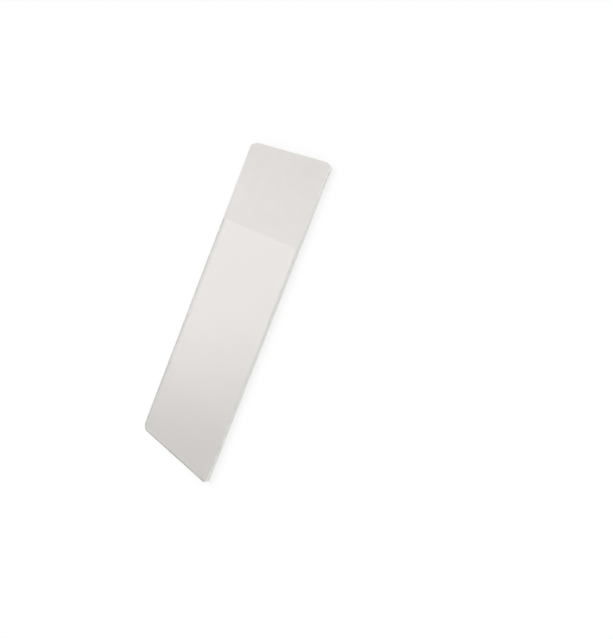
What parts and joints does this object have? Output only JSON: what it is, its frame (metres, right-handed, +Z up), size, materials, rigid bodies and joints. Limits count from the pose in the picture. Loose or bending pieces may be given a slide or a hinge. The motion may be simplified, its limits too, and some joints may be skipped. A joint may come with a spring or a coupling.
{
  "type": "microscope slide",
  "caption": "Flat rectangular plate of clear glass with clipped corners, ground edges and one frosted end, which carries a specimen on a microscope's stage.",
  "frame": {"origin": "centre of the underside, which lies on the plane z = 0", "axes": "+X along the length, +Y across the width, +Z up through the thickness"},
  "size_m": [0.0762, 0.0254, 0.0011],
  "materials": {
    "clear_glass": "clear soda-lime glass, both faces polished, but for the upper face's last 19.8 mm at the +X end, which is frosted; edges and corner cuts ground matt"
  },
  "bodies": {
    "root": {"slide_plate": "clear_glass"}
  },
  "joints": []
}
